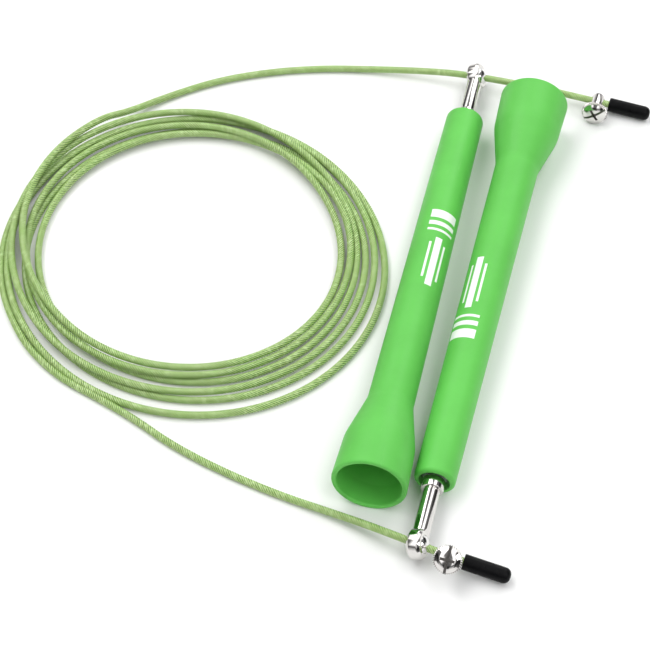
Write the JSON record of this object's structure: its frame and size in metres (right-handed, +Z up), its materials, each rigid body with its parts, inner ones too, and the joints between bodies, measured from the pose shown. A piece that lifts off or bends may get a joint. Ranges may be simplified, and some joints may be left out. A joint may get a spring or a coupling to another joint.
{
  "type": "jump rope",
  "caption": "Speed jump rope: slim flared handles on ball bearings with swivel balls, and a thin coated cable in a loose coil with screw clamps and end caps.",
  "frame": {"origin": "on the floor, in the middle of the pair of handles (centre of the bottom of their bounding box)", "axes": "+Y along the handles, which lie side by side head to tail; +Z up; +X away from the coiled cable"},
  "size_m": [0.2089, 0.2158, 0.024],
  "materials": {
    "handle_plastic": "satin light green",
    "cable_coating": "smooth coat over twisted wire",
    "plated_steel": "bright nickel plate",
    "ball_steel": "polished",
    "bearing_steel": "ground",
    "shield_steel": "satin",
    "cage_plastic": "moulded",
    "cap_rubber": "satin black"
  },
  "bodies": {
    "rope": {"cable_coil": "cable_coating", "cable_tail_a": "cable_coating", "cable_tail_b": "cable_coating"},
    "swivel_a": {"swivel_ball_a": "ball_steel"},
    "stem_a": {"stem_a": "plated_steel", "washer_a": "plated_steel", "nut_a": "plated_steel", "bearing_inner_race_a": "bearing_steel"},
    "handle_a": {"handle_a": "handle_plastic", "bearing_outer_race_a": "bearing_steel", "bearing_front_shield_a": "shield_steel", "bearing_back_shield_a": "shield_steel"},
    "cage_a": {"bearing_cage_a": "cage_plastic", "bearing_balls_a": "bearing_steel"},
    "clamp_a": {"clamp_barrel_a": "plated_steel"},
    "screw_a": {"clamp_screw_a": "plated_steel"},
    "cap_a": {"end_cap_a": "cap_rubber"},
    "swivel_b": {"swivel_ball_b": "ball_steel"},
    "stem_b": {"stem_b": "plated_steel", "washer_b": "plated_steel", "nut_b": "plated_steel", "bearing_inner_race_b": "bearing_steel"},
    "handle_b": {"handle_b": "handle_plastic", "bearing_outer_race_b": "bearing_steel", "bearing_front_shield_b": "shield_steel", "bearing_back_shield_b": "shield_steel"},
    "cage_b": {"bearing_cage_b": "cage_plastic", "bearing_balls_b": "bearing_steel"},
    "clamp_b": {"clamp_barrel_b": "plated_steel"},
    "screw_b": {"clamp_screw_b": "plated_steel"},
    "cap_b": {"end_cap_b": "cap_rubber"}
  },
  "joints": [
    {"name": "swing_a", "type": "hinge", "parent": "rope", "child": "swivel_a", "pos_m": [-0.01304, 0.10059, 0.00585], "axis": [0.9999, -0.0062, 0.0125], "continuous": true},
    {"name": "rock_a", "type": "hinge", "parent": "swivel_a", "child": "stem_a", "pos_m": [-0.01304, 0.10059, 0.00585], "axis": [0.015, -0.9994, 0.0327], "range_deg": [-52, 4]},
    {"name": "spin_a", "type": "hinge", "parent": "stem_a", "child": "handle_a", "pos_m": [-0.0127, 0.0776, 0.0066], "axis": [0.015, -0.9994, 0.0327], "continuous": true},
    {"name": "cage_spin_a", "type": "hinge", "parent": "stem_a", "child": "cage_a", "pos_m": [-0.0127, 0.0776, 0.0066], "axis": [0.015, -0.9994, 0.0327], "continuous": true},
    {"name": "clamp_slide_a", "type": "slide", "parent": "rope", "child": "clamp_a", "axis": [0.9975, -0.0325, -0.0634], "range_m": [-0.006, 0]},
    {"name": "screw_turn_a", "type": "hinge", "parent": "clamp_a", "child": "screw_a", "pos_m": [0.03161, 0.1006, 0.0036], "axis": [-0.0219, -0.9867, 0.1613], "range_deg": [0, 360]},
    {"name": "cap_slide_a", "type": "slide", "parent": "rope", "child": "cap_a", "axis": [0.9973, -0.0571, -0.047], "range_m": [0, 0.012]},
    {"name": "swing_b", "type": "hinge", "parent": "rope", "child": "swivel_b", "pos_m": [0.0082, -0.10059, 0.00585], "axis": [0.9861, -0.1365, -0.0943], "continuous": true},
    {"name": "rock_b", "type": "hinge", "parent": "swivel_b", "child": "stem_b", "pos_m": [0.0082, -0.10059, 0.00585], "axis": [0.0108, 0.9994, 0.0327], "range_deg": [-3, 53]},
    {"name": "spin_b", "type": "hinge", "parent": "stem_b", "child": "handle_b", "pos_m": [0.00845, -0.0776, 0.0066], "axis": [0.0108, 0.9994, 0.0327], "continuous": true},
    {"name": "cage_spin_b", "type": "hinge", "parent": "stem_b", "child": "cage_b", "pos_m": [0.00845, -0.0776, 0.0066], "axis": [0.0108, 0.9994, 0.0327], "continuous": true},
    {"name": "clamp_slide_b", "type": "slide", "parent": "rope", "child": "clamp_b", "axis": [0.9861, -0.1365, -0.0943], "range_m": [-0.0015, 0.0005]},
    {"name": "screw_turn_b", "type": "hinge", "parent": "clamp_b", "child": "screw_b", "pos_m": [0.01865, -0.10204, 0.00485], "axis": [-0.0166, -0.6466, 0.7626], "range_deg": [0, 360]},
    {"name": "cap_slide_b", "type": "slide", "parent": "rope", "child": "cap_b", "axis": [0.9906, -0.0681, -0.1189], "range_m": [0, 0.012]}
  ],
  "couplings": [
    {"joint": "cage_spin_a", "follows": "spin_a", "ratio": 0.6222},
    {"joint": "cage_spin_b", "follows": "spin_b", "ratio": 0.6222}
  ]
}
